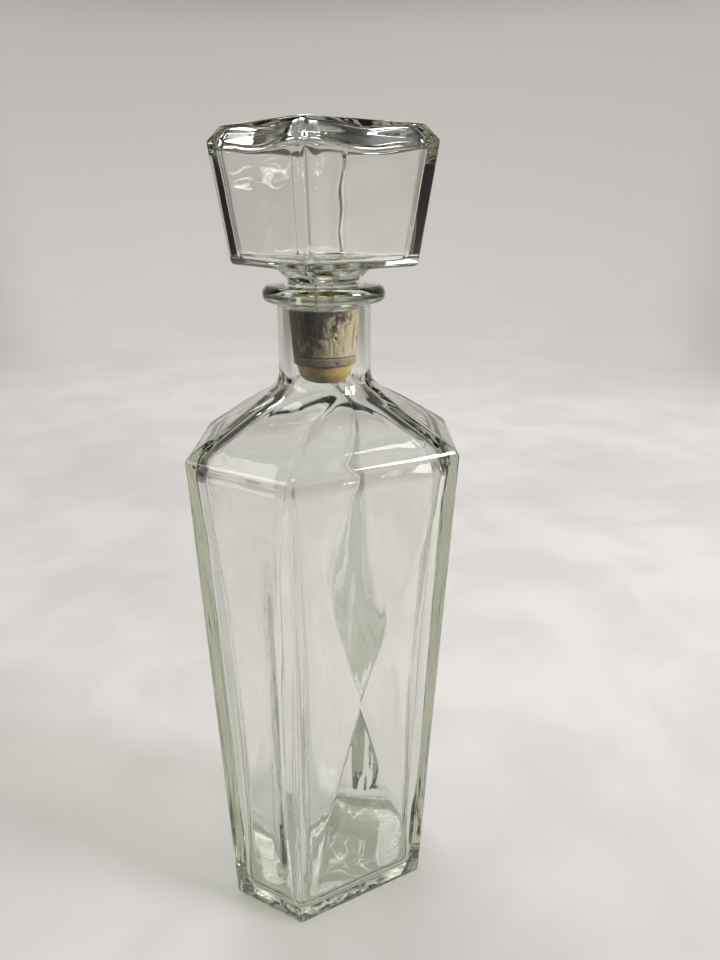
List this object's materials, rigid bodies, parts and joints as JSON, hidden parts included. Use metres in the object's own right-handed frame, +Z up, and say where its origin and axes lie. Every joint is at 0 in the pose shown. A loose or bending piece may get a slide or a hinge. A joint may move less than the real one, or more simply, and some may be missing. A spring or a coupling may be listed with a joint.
{
  "type": "wine decanter with glass stopper",
  "caption": "Six-sided tapered glass decanter with pressed-in faces, a round ringed neck and a hollow square glass stopper on a cork sleeve that lifts out.",
  "frame": {"origin": "middle of the underside, on the surface the decanter stands on", "axes": "+Z up along the neck and bore axis; the two wide faces of the flask are at -Y and +Y; the side corners are at -X and +X"},
  "size_m": [0.1008, 0.074, 0.2855],
  "materials": {
    "flask_glass": "clear, faint grey-green where it is thick",
    "stopper_glass": "clear, faint grey-green where it is thick",
    "cork": null,
    "cork_disc": null,
    "glue": "cured yellow glue",
    "amber_resin": "translucent amber, slightly cloudy"
  },
  "bodies": {
    "bottle": {"bottle": "flask_glass"},
    "stopper": {"stopper_block": "stopper_glass", "cork_sleeve": "cork", "cork_end_disc": "cork_disc", "peg_glue": "glue", "resin_tip": "amber_resin"}
  },
  "joints": [
    {"name": "stopper_lift", "type": "slide", "parent": "bottle", "child": "stopper", "axis": [0, 0, 1], "range_m": [0, 0.06]}
  ]
}
